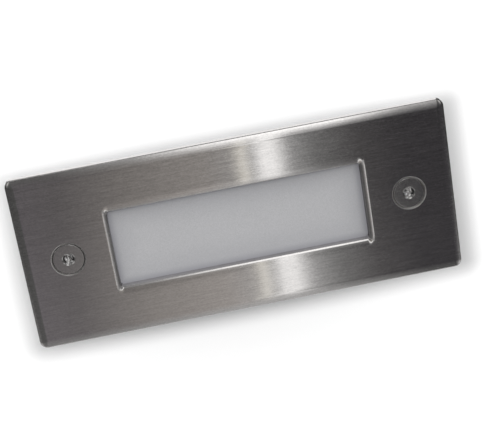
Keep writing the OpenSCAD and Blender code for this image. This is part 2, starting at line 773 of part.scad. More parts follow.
module terminal_screws() {
    screw_h = terminal_h * 0.4;
    slot = terminal_well_r / 3;
    color("silver") for (i = [-1 : 1])
        translate([terminal_x, i * terminal_pitch, driver_top_z + terminal_h * 0.42]) difference() {
            cylinder(h = screw_h, r = terminal_well_r - press);
            translate([-terminal_well_r, -slot / 2, screw_h - slot])
                cube([2 * terminal_well_r, slot, 2 * slot]);
        }
}

// A hexagonal nut along X, from x0 to x1, with its corners turned off
module x_hexagon(af, x0, x1) {
    intersection() {
        translate([x0, 0, 0]) rotate([0, 90, 0]) rotate([0, 0, 30])
            cylinder(h = x1 - x0, r = af / sqrt(3), $fn = 6);
        x_cylinder(af / sqrt(3) - 0.4, x0, x1);
    }
}

module gland_body() {
    collar_x = gland_wall_x + washer_t;
    color("#3a3a3a") translate([0, 0, gland_z]) difference() {
        union() {
            x_cylinder(gland_r, gland_wall_x - gland_in, collar_x);
            x_hexagon(gland_af, collar_x, collar_x + gland_collar_t);
            x_cylinder(gland_r - 0.8, collar_x, collar_x + gland_collar_t + 6);
        }
        x_cylinder(gland_bore_r, gland_wall_x - gland_in - 1, collar_x + gland_collar_t + 7);
        x_cylinder(cable_r + 2.8 + press, collar_x + 3, collar_x + gland_collar_t + 7);
    }
}

module gland_washer() {
    color("#202020") translate([0, 0, gland_z]) difference() {
        x_cylinder(gland_r + 1.3, gland_wall_x, gland_wall_x + washer_t);
        x_cylinder(gland_r + press, gland_wall_x - 1, gland_wall_x + washer_t + 1);
    }
}

module gland_locknut() {
    color("#3a3a3a") translate([0, 0, gland_z]) difference() {
        x_hexagon(gland_af, bay_l / 2 - locknut_t, bay_l / 2);
        x_cylinder(gland_r + press, bay_l / 2 - locknut_t - 1, bay_l / 2 + 1);
    }
}

// Rubber ring that the nut squeezes onto the cable
module gland_seal() {
    x0 = gland_wall_x + washer_t + 3;
    color("#151515") translate([0, 0, gland_z]) difference() {
        x_cylinder(cable_r + 2.8, x0, x0 + seal_l);
        x_cylinder(cable_r, x0 - 1, x0 + seal_l + 1);
    }
}

module gland_nut() {
    x0 = gland_wall_x + washer_t + gland_collar_t + 0.3;
    nose_x = x0 + dome_l;
    seal_end_x = gland_wall_x + washer_t + 3 + seal_l;
    hex_l = 8;
    color("#3a3a3a") translate([0, 0, gland_z]) difference() {
        union() {
            x_hexagon(gland_af, x0, x0 + hex_l);
            translate([x0 + hex_l - eps, 0, 0]) rotate([0, 90, 0])
                cylinder(h = dome_l - hex_l + eps, r1 = gland_af / 2, r2 = cable_r + 2.4);
        }
        x_cylinder(gland_r - 0.8 + press, x0 - 1, seal_end_x + press);
        x_cylinder(cable_r + 0.6, x0, nose_x + 1);
    }
}

module vent_plug() {
    head_t = 3;
    x0 = -gland_wall_x;
    color("#3a3a3a") translate([0, 0, vent_z]) difference() {
        union() {
            x_cylinder(vent_head_r, x0 - head_t, x0);
            x_cylinder(vent_r, x0 - eps, -bay_l / 2 + 3);
        }
        x_cylinder(1.5, x0 - head_t - 1, -bay_l / 2 + 4);
        x_cylinder(vent_r - 1, -bay_l / 2 + 1, -bay_l / 2 + 4);
        translate([x0, 0, 0]) rotate([0, 90, 0]) rotate_extrude()
            translate([vent_r + 1, 0]) circle(vent_oring_r);
    }
}

module vent_oring() {
    color("#151515") translate([-gland_wall_x, 0, vent_z]) rotate([0, -90, 0])
        rotate_extrude() intersection() {
            translate([vent_r + 1, 0]) circle(vent_oring_r - press);
            translate([vent_r, 0]) square([2, vent_oring_r]);
        }
}

module vent_membrane() {
    color("white") translate([0, 0, vent_z]) x_cylinder(vent_r - 1 - press, -bay_l / 2 + 1, -bay_l / 2 + 1.5);
}

face_plate();
face_gasket();
diffuser();
lens_gasket();
left_screw();
right_screw();
left_retainer();
right_retainer();
housing();
threaded_inserts();
reflector();
led_board();
led_emitters();
board_connector();
board_screws();
thermal_pad();
deck();
deck_screws();
lead_grommet();
positive_lead();
negative_lead();
driver_spacers();
driver_board();
driver_screws();
transformer();
capacitors();
driver_chips();
terminal_block();
terminal_screws();
gland_body();
gland_washer();
gland_locknut();
gland_seal();
gland_nut();
vent_plug();
vent_oring();
vent_membrane();
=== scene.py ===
import json
import math

import bmesh
import bpy
import numpy as np
from mathutils import Matrix, Vector


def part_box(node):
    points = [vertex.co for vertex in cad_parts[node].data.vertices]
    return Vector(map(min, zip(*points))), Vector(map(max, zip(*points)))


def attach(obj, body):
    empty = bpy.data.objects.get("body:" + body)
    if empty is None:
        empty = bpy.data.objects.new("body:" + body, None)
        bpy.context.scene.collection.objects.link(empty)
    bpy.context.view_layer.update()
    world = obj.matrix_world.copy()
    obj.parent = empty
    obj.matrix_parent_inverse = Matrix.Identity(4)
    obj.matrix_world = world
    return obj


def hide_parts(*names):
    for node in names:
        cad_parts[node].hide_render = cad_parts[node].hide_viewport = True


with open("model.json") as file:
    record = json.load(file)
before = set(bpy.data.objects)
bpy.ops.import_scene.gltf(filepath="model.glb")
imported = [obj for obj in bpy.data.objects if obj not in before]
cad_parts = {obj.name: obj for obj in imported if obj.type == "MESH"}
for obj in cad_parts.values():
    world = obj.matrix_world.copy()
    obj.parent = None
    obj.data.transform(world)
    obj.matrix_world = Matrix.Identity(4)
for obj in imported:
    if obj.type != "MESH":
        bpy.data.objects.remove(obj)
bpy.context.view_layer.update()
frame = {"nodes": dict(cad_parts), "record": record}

# Everything is in metres, +Z out of the ground, +X along the plate towards the cable gland
MM = 0.001

# The face plate: its sheet and the fall of its outer edge, which leans by edge_tilt degrees before it bends
plate_low, plate_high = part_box("face_plate")
face_z = plate_high.z
plate_foot_z = face_z - 4 * MM
sheet = 1.5 * MM
corner_r = 3 * MM
edge_reach = 4 * MM
edge_bend = 0.9 * MM
edge_tilt = 18

# The window and the fall of its lip, which is squeezed to a part of its reach at the window's two ends
window_half = Vector((49.6 * MM, 15.6 * MM))
window_corner_r = 1.6 * MM
lip_reach = 3.2 * MM
lip_bend = 0.8 * MM
lip_tilt = 12
end_squeeze = 0.62
lip_foot_z = face_z - 3.9 * MM

# The face screws and the dimples they lie in
right_low, right_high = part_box("right_screw")
screw_x = (right_low.x + right_high.x) / 2
sink_r = 6.8 * MM
sink_hole_r = 3.3 * MM
dimple_depth = 4.6 * MM
head_r = 6 * MM
head_z = face_z - 0.3 * MM
neck_r = 2.4 * MM
thread_r = 2.97 * MM
thread_pitch = 1 * MM
socket_depth = 2.3 * MM

BLACK = (0, 0, 0)
WHITE = (1, 1, 1)


# Shader maths

class Socket:
    """One output of a node. Arithmetic on it, also with a number on the left, adds Math nodes to its tree."""

    def __init__(self, shader, output):
        self.shader = shader
        self.output = output

    def __add__(self, other):
        return self.shader.math("ADD", self, other)

    def __sub__(self, other):
        return self.shader.math("SUBTRACT", self, other)

    def __rsub__(self, other):
        return self.shader.math("SUBTRACT", other, self)

    def __mul__(self, other):
        return self.shader.math("MULTIPLY", self, other)

    def __truediv__(self, other):
        return self.shader.math("DIVIDE", self, other)

    def __rtruediv__(self, other):
        return self.shader.math("DIVIDE", other, self)

    __radd__ = __add__
    __rmul__ = __mul__


class Shader:
    """The nodes of one material, or of the world."""

    def __init__(self, owner):
        owner.use_nodes = True
        self.owner = owner
        self.tree = owner.node_tree

    def math(self, operation, *terms):
        return self.node("ShaderNodeMath", {"operation": operation}, dict(enumerate(terms)))

    def node(self, kind, settings=None, sockets=None, output=0):
        """Adds a node: first its settings, then the values and links of its sockets."""
        made = self.tree.nodes.new(kind)
        for name, value in (settings or {}).items():
            if name == "stops":
                self.fill_ramp(made.color_ramp, value)
            else:
                setattr(made, name, value)
        for key, value in (sockets or {}).items():
            if isinstance(value, Socket):
                self.tree.links.new(value.output, made.inputs[key])
            else:
                made.inputs[key].default_value = value
        return Socket(self, made.outputs[output])

    def fill_ramp(self, ramp, stops):
        while len(ramp.elements) < len(stops):
            ramp.elements.new(1)
        for element, (position, colour) in zip(ramp.elements, stops):
            element.position = position
            element.color = (*colour, 1)

    def show(self, lit):
        """Makes a shader the one that shows."""
        output = next(n for n in self.tree.nodes if n.type.startswith("OUTPUT"))
        self.tree.links.new(lit.output, output.inputs["Surface"])

    def place(self, scale=(1, 1, 1), centre=(0, 0, 0)):
        """The piece's own coordinates in metres, centred on a point and then stretched."""
        at = self.node("ShaderNodeTexCoord", output=3)
        moved = self.node("ShaderNodeVectorMath", {"operation": "SUBTRACT"}, {0: at, 1: centre})
        return self.node("ShaderNodeMapping", None, {"Vector": moved, "Scale": scale})

    def axes(self, **place):
        """X, Y and Z of the piece's own coordinates, as three values."""
        split = self.node("ShaderNodeSeparateXYZ", None, {0: self.place(**place)})
        return self.outputs(split)

    def outputs(self, made):
        """Every output of the node that a socket belongs to."""
        return [Socket(self, out) for out in made.output.node.outputs]

    def rays(self, *kinds):
        """For each kind of ray, 1 where the ray that meets this surface is of that kind, and else 0."""
        outputs = self.node("ShaderNodeLightPath").output.node.outputs
        return [Socket(self, outputs[f"Is {kind} Ray"]) for kind in kinds]

    def length(self, x, y):
        """The length of the vector with these two values."""
        return self.math("SQRT", x * x + y * y)

    def noise(self, size, detail=2.0, warp=0.0, **place):
        """Noise whose lumps are about size metres across, from 0 to 1."""
        sockets = {"Vector": self.place(**place), "Scale": 1 / size, "Detail": detail, "Distortion": warp}
        return self.node("ShaderNodeTexNoise", None, sockets)

    def cells(self, size):
        """Distance from the middle of the nearest of many cells about size metres across."""
        return self.node("ShaderNodeTexVoronoi", None, {"Vector": self.place(), "Scale": 1 / size})

    def step(self, value, low, high, start=0.0, end=1.0, form="SMOOTHSTEP"):
        """Rises from start to end as value goes from low to high."""
        sockets = {"Value": value, "From Min": low, "From Max": high, "To Min": start, "To Max": end}
        return self.node("ShaderNodeMapRange", {"interpolation_type": form}, sockets)

    def mix(self, factor, low, high):
        """A colour between two colours."""
        low = low if isinstance(low, Socket) else (*low, 1)
        high = high if isinstance(high, Socket) else (*high, 1)
        return self.node("ShaderNodeMix", {"data_type": "RGBA"}, {0: factor, 6: low, 7: high}, 2)

    def bump(self, height, depth, below=None):
        """A normal that follows height, whose range from 0 to 1 is depth metres, over another such normal."""
        sockets = {"Height": height, "Distance": depth}
        if below:
            sockets["Normal"] = below
        return self.node("ShaderNodeBump", None, sockets)


class Finish(Shader):
    """A material: fixed values on its Principled shader, and nodes for what varies over the surface."""

    def __init__(self, name, **fixed):
        super().__init__(bpy.data.materials.new(name))
        self.surface = self.tree.nodes["Principled BSDF"]
        for socket, value in fixed.items():
            self.surface.inputs[socket.replace("_", " ")].default_value = value

    def feed(self, **sockets):
        """Links sockets of the Principled shader, and gives the material."""
        for name, value in sockets.items():
            self.tree.links.new(value.output, self.surface.inputs[name.replace("_", " ")])
        return self.owner


def tinted(colour, factor):
    """The colour made darker or lighter."""
    return [min(1, c * factor) for c in colour]


# Materials

def brushed_steel(name, tint, rough, depth):
    """Stainless sheet brushed along its length: fine strokes along X, some long and some short, with a faint
    uneven sheen. It is duller where it was pressed down: round the window's ends and in the screws' dimples.
    Painted shade darkens the window's end lips, and more of it darkens their walls down in the recess."""
    s = Finish(name, Metallic=1.0, Anisotropic=1.0)
    grain = s.noise(0.45 * MM, 2, scale=(0.6, 1, 1))
    short = s.noise(0.52 * MM, 2, scale=(0.12, 1, 1))
    long = s.noise(0.75 * MM, 2, scale=(0.03, 1, 1))
    cloud = s.noise(38 * MM, 2)
    streak = grain * 0.42 + short * 0.34 + long * 0.24
    x, y, z = s.axes()
    across, along = s.math("ABSOLUTE", y), s.math("ABSOLUTE", x)
    beyond_end, beyond_side = along - window_half.x, across - window_half.y
    at_end = s.step(beyond_end - beyond_side, -0.6 * MM, 0.5 * MM)
    beyond = s.math("MAXIMUM", beyond_end, beyond_side)
    # Duller metal round the window's ends, which also carries painted shade that darkens the lip there
    drawn_and_shaded = s.step(beyond, 0.7 * lip_bend, 0.7 * lip_reach, 1.0, 0.0) * at_end
    # Painted shade on the window's end walls down in the recess
    painted_wall_shade = drawn_and_shaded * s.step(z, face_z - 2 * MM, face_z - 0.8 * MM, 1.0, 0.0)
    sunk = s.step(s.length(along - screw_x, y), sink_r - 0.3 * MM, sink_r + 0.1 * MM, 1.0, 0.0)
    polish = s.step(streak + 0.25 * cloud, 0.4, 0.9, rough * 0.8, rough * 1.25)
    colour = s.mix(s.step(streak, 0.3, 0.7, form="LINEAR"), tinted(tint, 0.83), tinted(tint, 1.17))
    # The base colour goes toward black under the painted shade at the window's ends and walls
    return s.feed(Base_Color=s.mix(drawn_and_shaded * 0.25 + painted_wall_shade * 0.35, colour, BLACK),
                  Roughness=polish + drawn_and_shaded * 0.5 + sunk * 0.8,
                  Normal=s.bump(short * 0.6 + long * 0.4, depth))


def turned_steel(name, tint, centre_x):
    """A turned screw: fine rings round its axis and faint handling marks. The broach has ripped its socket: a
    bump there, with painted glints in bright patches and painted shade towards its two sides."""
    s = Finish(name, Metallic=1.0)
    x, y, z = s.axes(centre=(centre_x, 0, 0))
    radius = s.length(x, y)
    ring_pitch = 0.23 * MM
    rings = s.math("SINE", radius * (math.tau / ring_pitch))
    marks = s.noise(0.5 * MM, 2, centre=(centre_x, 0, 0))
    worn = s.step(marks + 0.15 * rings, 0.3, 0.8)
    torn_and_glints = s.noise(0.85 * MM, 1, centre=(centre_x, 0, 0))
    from_middle = s.math("ABSOLUTE", z - (head_z - 2.2 * MM))
    in_height = s.step(from_middle, 1.8 * MM, 2 * MM, 1.0, 0.0)
    in_socket = s.step(radius, 2.2 * MM, 2.4 * MM, 1.0, 0.0) * in_height
    # Painted shade inside the socket, darker towards its two sides
    painted_side_shade = s.step(s.math("ABSOLUTE", x) - 1.6 * MM * torn_and_glints, 0.3 * MM, 0.8 * MM)
    colour = s.mix(worn, tinted(tint, 0.93), tint)
    # Painted glints: the socket's metal colour turns white in patches
    colour = s.mix(in_socket * s.step(torn_and_glints, 0.45, 0.6), colour, WHITE)
    torn_normal = s.bump(torn_and_glints * in_socket, 0.45 * MM)
    return s.feed(Base_Color=s.mix(in_socket * painted_side_shade * 0.85, colour, BLACK),
                  Roughness=s.step(marks, 0.3, 0.7, 0.15, 0.22),
                  Normal=s.bump(marks * 0.5 + 0.3 * rings, 0.0012 * MM, torn_normal))


def bright_steel(name, tint):
    """Zinc-plated small screws: bright, a little cloudy, with a fine grain."""
    s = Finish(name, Metallic=1.0)
    cloud = s.noise(1.6 * MM, 3)
    grain = s.noise(0.12 * MM, 2)
    bluish = (tint[0] * 0.92, tint[1] * 0.95, tint[2])
    return s.feed(Base_Color=s.mix(cloud, tint, bluish),
                  Roughness=s.step(cloud, 0.3, 0.7, 0.22, 0.38),
                  Normal=s.bump(grain, 0.006 * MM))


def frosted_lens(name, tint):
    """Toughened opal glass, acid-frosted: an even satin with a very fine grain, darkened near its edges by
    painted shade where the window's walls stand over it."""
    s = Finish(name, IOR=1.5, Specular_IOR_Level=0.3)
    grain = s.noise(0.3 * MM, 2)
    cloud = s.noise(22 * MM, 2)
    x, y, z = s.axes()
    inward = s.math("MINIMUM", window_half.x - s.math("ABSOLUTE", x), window_half.y - s.math("ABSOLUTE", y))
    # Painted shade: darker within about 3 mm of the window's edges, fading out by 13 mm
    clear = s.step(inward, 0, 3 * MM, 0.0, 0.7) + s.step(inward, 2 * MM, 13 * MM, 0.0, 0.3)
    colour = s.mix(cloud, tinted(tint, 0.96), tinted(tint, 1.03))
    colour = s.mix(s.step(grain, 0.2, 0.8, 0, 0.2), colour, BLACK)
    # The colour of the painted shade at the lens's edges
    painted_edge_shade = (tint[0] * 0.67, tint[1] * 0.67, tint[2] * 0.7)
    return s.feed(Base_Color=s.mix(clear, painted_edge_shade, colour),
                  Roughness=s.step(grain, 0.2, 0.8, 0.45, 0.6),
                  Normal=s.bump(grain, 0.004 * MM))


def moulded_rubber(name, tint, rough):
    """Silicone rubber: soft mottling and a fine moulded grain."""
    s = Finish(name, Specular_IOR_Level=0.35)
    mottle = s.noise(3 * MM, 4)
    grain = s.noise(0.16 * MM, 2)
    return s.feed(Base_Color=s.mix(mottle, tinted(tint, 0.75), tinted(tint, 1.3)),
                  Roughness=s.step(mottle, 0.25, 0.75, rough * 0.9, rough * 1.15),
                  Normal=s.bump(grain, 0.01 * MM))


def moulded_plastic(name, tint, rough, grain_depth=0.006 * MM, grain_size=0.2 * MM):
    """Injection-moulded plastic: spark-eroded texture and slow flow marks."""
    s = Finish(name, Specular_IOR_Level=0.45)
    flow = s.noise(9 * MM, 3, warp=0.6)
    grain = s.noise(grain_size, 2)
    return s.feed(Base_Color=s.mix(flow, tinted(tint, 0.93), tinted(tint, 1.04)),
                  Roughness=s.step(flow + 0.3 * grain, 0.4, 0.9, rough * 0.88, rough * 1.15),
                  Normal=s.bump(grain, grain_depth))


def powder_coat(name, tint):
    """Black powder coat on a casting: orange peel, a fine sand of pigment and dusty hollows."""
    s = Finish(name, Specular_IOR_Level=0.5)
    peel = s.noise(0.9 * MM, 2)
    sand = s.cells(0.22 * MM)
    dust = s.noise(14 * MM, 4)
    dusty = (0.085, 0.084, 0.08)
    pigment = (0.16, 0.16, 0.165)
    colour = s.mix(s.step(dust, 0.45, 0.8), tint, dusty)
    return s.feed(Base_Color=s.mix(s.step(sand, 0.0, 0.25, 0.35, 0.0), colour, pigment),
                  Roughness=s.step(dust + 0.2 * peel, 0.4, 0.9, 0.38, 0.6),
                  Normal=s.bump(peel, 0.035 * MM, s.bump(sand, 0.012 * MM)))


def circuit_board(name, mask, track):
    """A printed board: solder mask over tracks that run along X, one in a lane, and jog by half a lane.
    Here and there a lane is empty, by the sine of a number that differs with the lane and the stretch."""
    s = Finish(name, Specular_IOR_Level=0.5)
    x, y, z = s.axes()
    lane_width = 1.6 * MM
    stretch_length = 11 * MM
    lanes = y / lane_width
    jog = 0.5 * s.math("ROUND", s.noise(9 * MM, 0, scale=(1, 0.4, 1)) * 6)
    from_track = s.math("ABSOLUTE", s.math("FRACT", lanes + jog) - 0.5)
    stretch = s.math("ROUND", x / stretch_length)
    used = s.math("GREATER_THAN", s.math("SINE", s.math("FLOOR", lanes) * 12.9 + stretch * 4.1), -0.1)
    line = s.step(from_track, 0.16, 0.2, 1.0, 0.0) * used
    weave = s.noise(0.5 * MM, 1)
    return s.feed(Base_Color=s.mix(line, mask, track),
                  Roughness=s.step(weave, 0.3, 0.7, 0.28, 0.4),
                  Normal=s.bump(line, 0.035 * MM, s.bump(weave, 0.004 * MM)))


def phosphor(name, tint, rim_tint):
    """Light emitters in two rows: each a white rim round a sunk yellow window of phosphor."""
    s = Finish(name, Specular_IOR_Level=0.5)
    x, y, z = s.axes()
    pitch = 8.5 * MM
    row_y = 6 * MM
    half_x, half_y = 1.35 * MM, 1 * MM
    from_x = s.math("ABSOLUTE", s.math("FRACT", x / pitch) * pitch - pitch / 2)
    from_y = s.math("ABSOLUTE", s.math("ABSOLUTE", y) - row_y)
    outside = s.math("MAXIMUM", from_x - half_x, from_y - half_y)
    window = s.step(outside, -0.05 * MM, 0.05 * MM, 1.0, 0.0)
    grain = s.noise(0.12 * MM, 2)
    return s.feed(Base_Color=s.mix(window, rim_tint, s.mix(grain, tint, tinted(tint, 0.8))),
                  Roughness=s.step(window + 0.2 * grain, 0.0, 1.2, 0.55, 0.3),
                  Normal=s.bump(window * -1.0 + 0.1 * grain, 0.06 * MM))


def banded(name, centre_z, half_height, belt, rest):
    """A wound part: a belt round the middle, another material above and below, and plies all the way up."""
    s = Finish(name, Specular_IOR_Level=0.4)
    x, y, z = s.axes(centre=(0, 0, centre_z))
    outside = s.step(s.math("ABSOLUTE", z) - half_height, -0.1 * MM, 0.1 * MM)
    ply_height = 0.9 * MM
    ply = s.math("SINE", z * (math.tau / ply_height))
    grit = s.noise(0.3 * MM, 3)
    colour = s.mix(outside, belt, rest)
    return s.feed(Base_Color=s.mix(s.step(grit, 0.3, 0.9, 0.0, 0.3), colour, tinted(belt, 0.6)),
                  Roughness=s.step(outside + 0.3 * grit, 0.0, 1.2, 0.3, 0.6),
                  Normal=s.bump(ply, 0.02 * MM, s.bump(grit, 0.01 * MM)))


def knurled_brass(name, tint, centre_x, pitch_deg):
    """Brass with a diamond knurl round the upright axes at x = -centre_x and centre_x: the product of two
    sines that climb either way. It fades out nearer the axis and further off than an insert's skin."""
    s = Finish(name, Metallic=1.0)
    x, y, z = s.axes()
    climb_pitch = 1.1 * MM
    from_x = s.math("ABSOLUTE", x) - centre_x
    radius = s.length(from_x, y)
    on_skin = s.step(radius, 4 * MM, 4.3 * MM) * s.step(radius, 5 * MM, 5.3 * MM, 1.0, 0.0)
    round_by = s.math("ARCTAN2", y, from_x) * (360 / pitch_deg)
    climb = z * (math.tau / climb_pitch)
    knurl = s.math("SINE", round_by + climb) * s.math("SINE", round_by - climb)
    tarnish = s.noise(3 * MM, 3)
    return s.feed(Base_Color=s.mix(s.step(tarnish, 0.35, 0.8), tint, tinted(tint, 0.75)),
                  Roughness=s.step(tarnish, 0.3, 0.7, 0.22, 0.36),
                  Normal=s.bump(knurl * on_skin, 0.12 * MM))


def machined_metal(name, tint, line_size, rough):
    """Bare metal with the straight lines of a mill and a few darker stains."""
    s = Finish(name, Metallic=1.0)
    lines = s.noise(line_size, 2, scale=(0.03, 1, 1))
    stain = s.noise(12 * MM, 4)
    return s.feed(Base_Color=s.mix(s.step(stain, 0.4, 0.75), tint, tinted(tint, 0.8)),
                  Roughness=s.step(lines + 0.4 * stain, 0.4, 1.0, rough * 0.8, rough * 1.25),
                  Normal=s.bump(lines, 0.012 * MM))


def fibrous_film(name, tint):
    """Porous film of the vent: a fine fibrous mat."""
    s = Finish(name, Specular_IOR_Level=0.2)
    fibre = s.noise(0.2 * MM, 4, warp=1.5)
    return s.feed(Base_Color=s.mix(fibre, tinted(tint, 0.86), tint),
                  Roughness=s.step(fibre, 0.3, 0.7, 0.8, 0.95),
                  Normal=s.bump(fibre, 0.03 * MM))


PLATE_STEEL = (0.60, 0.585, 0.575)
SCREW_STEEL = (0.58, 0.57, 0.56)
# For each material slot: how it is made, and what its function takes after the name
RECIPES = {
    "face_steel": (brushed_steel, PLATE_STEEL, 0.11, 0.010 * MM),
    "small_steel": (bright_steel, (0.66, 0.66, 0.66)),
    "lens_frost": (frosted_lens, (0.495, 0.495, 0.508)),
    "seal_rubber": (moulded_rubber, (0.03, 0.03, 0.032), 0.62),
    "washer_nylon": (moulded_plastic, (0.80, 0.77, 0.68), 0.4),
    "cast_black": (powder_coat, (0.042, 0.043, 0.046)),
    "insert_brass": (knurled_brass, (0.78, 0.60, 0.30), screw_x, 12),
    "tray_white": (moulded_plastic, (0.86, 0.86, 0.85), 0.5),
    "board_white": (circuit_board, (0.80, 0.80, 0.78), (0.70, 0.70, 0.67)),
    "emitter_yellow": (phosphor, (0.86, 0.60, 0.10), (0.86, 0.86, 0.84)),
    "connector_ivory": (moulded_plastic, (0.80, 0.77, 0.66), 0.45),
    "pad_grey": (moulded_rubber, (0.40, 0.42, 0.45), 0.7),
    "deck_aluminium": (machined_metal, (0.76, 0.77, 0.78), 0.4 * MM, 0.36),
    "lead_red": (moulded_rubber, (0.50, 0.03, 0.025), 0.4),
    "lead_black": (moulded_rubber, (0.025, 0.025, 0.025), 0.4),
    "board_green": (circuit_board, (0.015, 0.13, 0.055), (0.04, 0.24, 0.11)),
    "core_yellow": (banded, 15.1 * MM, 3.6 * MM, (0.72, 0.50, 0.09), (0.045, 0.043, 0.042)),
    "capacitor_blue": (banded, 10.4 * MM, 10.9 * MM, (0.03, 0.05, 0.17), (0.55, 0.55, 0.56)),
    "chip_black": (moulded_plastic, (0.03, 0.03, 0.03), 0.55),
    "terminal_grey": (moulded_plastic, (0.45, 0.46, 0.47), 0.45),
    "gland_black": (moulded_plastic, (0.035, 0.035, 0.038), 0.42, 0.02 * MM, 0.3 * MM),
    "membrane_white": (fibrous_film, (0.86, 0.86, 0.85)),
}
FINISHES = {slot: make(slot, *given) for slot, (make, *given) in RECIPES.items()}
for item in frame["record"]["subparts"]:
    slot = item["material_slot"]
    if slot in FINISHES:
        frame["nodes"][item["node"]].material_slots[0].material = FINISHES[slot]


# Surfaces

def arc(centre, radius, start, end, steps):
    """Points of a profile on a circle, from one angle in degrees to another."""
    angle = np.radians(np.linspace(start, end, steps + 1))
    return np.stack([centre[0] + radius * np.cos(angle), centre[1] + radius * np.sin(angle)], -1)


def chain(*pieces):
    """One profile from arcs and single points, in order."""
    return np.concatenate([np.atleast_2d(p) for p in pieces])


def corner_path(half_x, half_y, steps):
    """A rectangle walked anticlockwise, turning on the spot at its corners: points, outward normals, and the
    way in which each corner points."""
    angle = np.radians(np.concatenate([np.linspace(k * 90, k * 90 + 90, steps + 1) for k in range(4)]))
    way = np.repeat([(1, 1), (-1, 1), (-1, -1), (1, -1)], steps + 1, axis=0)
    return way * (half_x, half_y), np.stack([np.cos(angle), np.sin(angle)], -1), way


def carried(path, profile):
    """The profile's points (distance out, height) carried round the path: point + distance * normal. Where
    the distance is negative, so inside the path, the corners are sharp."""
    points, normals, way = path
    distance = profile[None, :, :1]
    outward = np.maximum(distance, 0) * normals[:, None]
    inward = np.minimum(distance, 0) * way[:, None]
    flat = points[:, None] + outward + inward
    height = np.broadcast_to(profile[None, :, 1:], (*flat.shape[:2], 1))
    return np.concatenate([flat, height], -1)


def turned(centre, profile, steps):
    """The profile's points (radius, height) turned round an upright axis."""
    angle = np.linspace(0, math.tau, steps, endpoint=False)
    normals = np.stack([np.cos(angle), np.sin(angle)], -1)
    return carried((np.broadcast_to(centre, normals.shape), normals, normals), profile)


def ring_faces(rows, columns):
    """Quads of a grid whose rows close into a ring."""
    i, j = np.meshgrid(np.arange(rows), np.arange(columns - 1), indexing="ij")
    following = (i + 1) % rows
    quads = [i * columns + j, following * columns + j, following * columns + j + 1, i * columns + j + 1]
    return np.stack(quads, -1).reshape(-1, 4)


def skin(name, rings, flats=(), extra=()):
    """A closed mesh from ring-shaped grids and from extra grids with their own faces, with the open loops at
    each height in flats filled flat."""
    weld = 0.0005 * MM
    level = 0.0001 * MM
    grids = [(r, ring_faces(*r.shape[:2])) for r in rings] + list(extra)
    starts = np.cumsum([0] + [g.shape[0] * g.shape[1] for g, f in grids])
    points = np.concatenate([g.reshape(-1, 3) for g, f in grids])
    faces = np.concatenate([f + start for (g, f), start in zip(grids, starts)])
    mesh = bpy.data.meshes.new(name)
    mesh.from_pydata(points, [], faces)
    work = bmesh.new()
    work.from_mesh(mesh)
    bmesh.ops.remove_doubles(work, verts=work.verts, dist=weld)
    for height in flats:
        rim = [e for e in work.edges if e.is_boundary and all(abs(v.co.z - height) < level for v in e.verts)]
        bmesh.ops.triangle_fill(work, use_beauty=True, edges=rim)
    bmesh.ops.recalc_face_normals(work, faces=work.faces)
    work.to_mesh(mesh)
    work.free()
    return mesh


def piece(name, mesh, material, body, replaces, crease=35):
    """A finished piece: smooth but for creases over so many degrees, with flat faces kept flat, riding on
    its body."""
    mesh.shade_smooth()
    mesh.set_sharp_from_angle(angle=math.radians(crease))
    mesh.materials.append(material)
    made = bpy.data.objects.new(name, mesh)
    bpy.context.scene.collection.objects.link(made)
    made.modifiers.new("flat faces stay flat", "WEIGHTED_NORMAL").keep_sharp = True
    final = bpy.data.meshes.new_from_object(made.evaluated_get(bpy.context.evaluated_depsgraph_get()))
    made.modifiers.clear()
    made.data = final
    final.name = name
    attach(made, body)
    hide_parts(*replaces)
    return made


def fall(reach, bend, tilt):
    """How the sheet falls to an upright wall at distance 0: from reach inwards it sags along a wide arc until
    it leans by tilt degrees, and the last stretch, bend wide, is a tight arc down to the upright. Gives the
    points (distance, height) and the height at which the wall starts."""
    lean = math.sin(math.radians(tilt))
    upright = math.cos(math.radians(tilt))
    wide_r = (reach - bend) / lean
    tight_r = bend / (1 - lean)
    centre_z = face_z - wide_r * (1 - upright) - tight_r * upright
    points = chain(arc((reach, face_z - wide_r), wide_r, 90, 90 + tilt, 8)[:-1],
                   arc((tight_r, centre_z), tight_r, 90 + tilt, 180, 16))
    return points, centre_z


